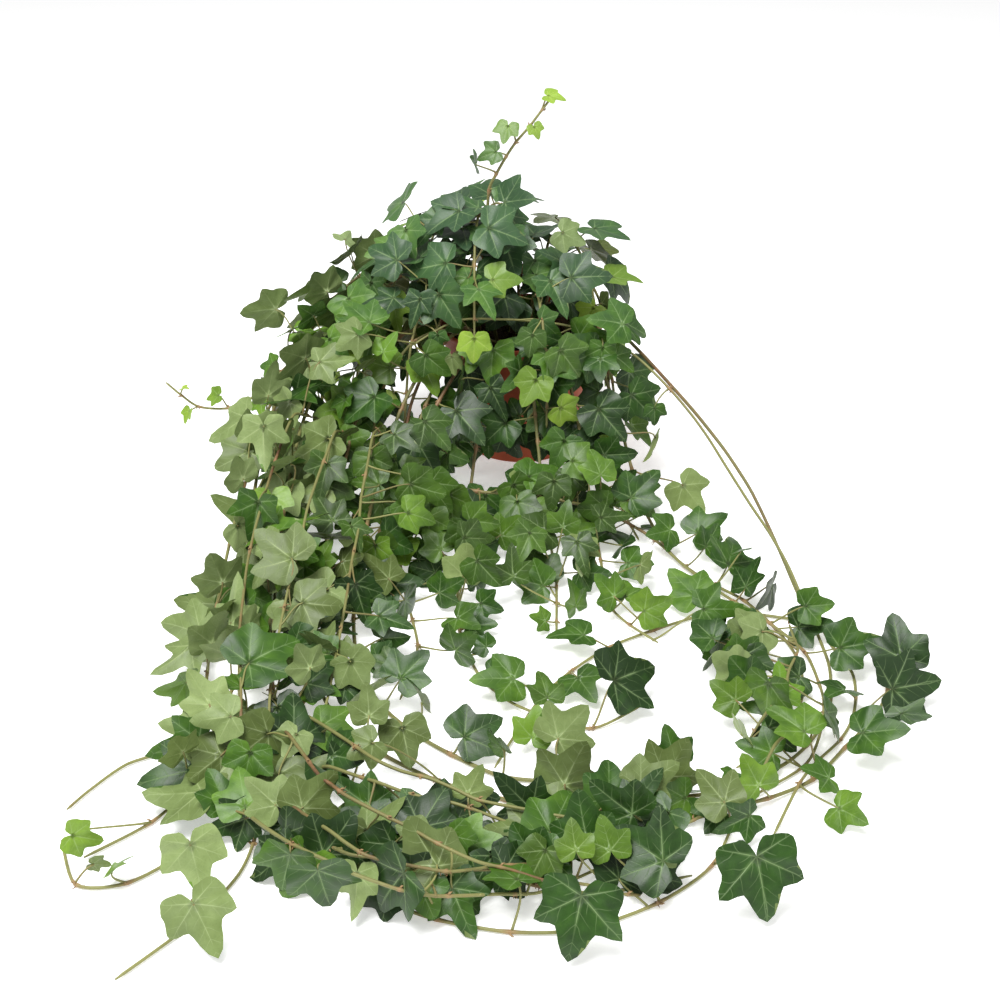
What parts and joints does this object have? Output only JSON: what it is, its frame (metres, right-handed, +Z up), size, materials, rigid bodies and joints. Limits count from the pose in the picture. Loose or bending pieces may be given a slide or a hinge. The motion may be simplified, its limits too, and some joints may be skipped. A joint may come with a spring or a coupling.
{
  "type": "potted english ivy",
  "caption": "English ivy in a round plastic nursery pot: a dome of lobed leaves, with long leafy stems that arch over the rim, trail down and lie on the surface in a loop.",
  "frame": {"origin": "centre of the pot's base, on the surface that the pot and the trailing stems rest on", "axes": "+Z up along the pot's axis; -Y is the front, towards which the long stems trail and where they lie; +X is the plant's right as seen from the front"},
  "size_m": [0.528, 0.7204, 0.2872],
  "materials": {
    "pot_plastic": "satin",
    "potting_soil": "matte",
    "ivy": "satin"
  },
  "bodies": {
    "root": {"pot": "pot_plastic", "soil": "potting_soil", "vine_crown_top_left": "ivy", "vine_crown_top": "ivy", "vine_crown_top_right": "ivy", "vine_crown_right": "ivy", "vine_crown_front_right": "ivy", "vine_crown_front": "ivy", "vine_crown_front_left": "ivy", "vine_crown_left": "ivy", "vine_crown_drop": "ivy", "vine_crown_back_left": "ivy", "vine_crown_back_right": "ivy", "vine_crown_back": "ivy", "vine_sprig": "ivy", "vine_spray": "ivy", "vine_left_outer": "ivy", "vine_left_upper": "ivy", "vine_left_loop": "ivy", "vine_left_arc": "ivy", "vine_left_far": "ivy", "vine_left_back": "ivy", "vine_left_inner": "ivy", "vine_left_long": "ivy", "vine_front_middle": "ivy", "vine_front_brown": "ivy", "vine_front_right": "ivy", "vine_front_trail": "ivy", "vine_front_left": "ivy", "vine_front_crossing": "ivy", "vine_right_drop": "ivy", "vine_right_arc": "ivy"}
  },
  "joints": []
}
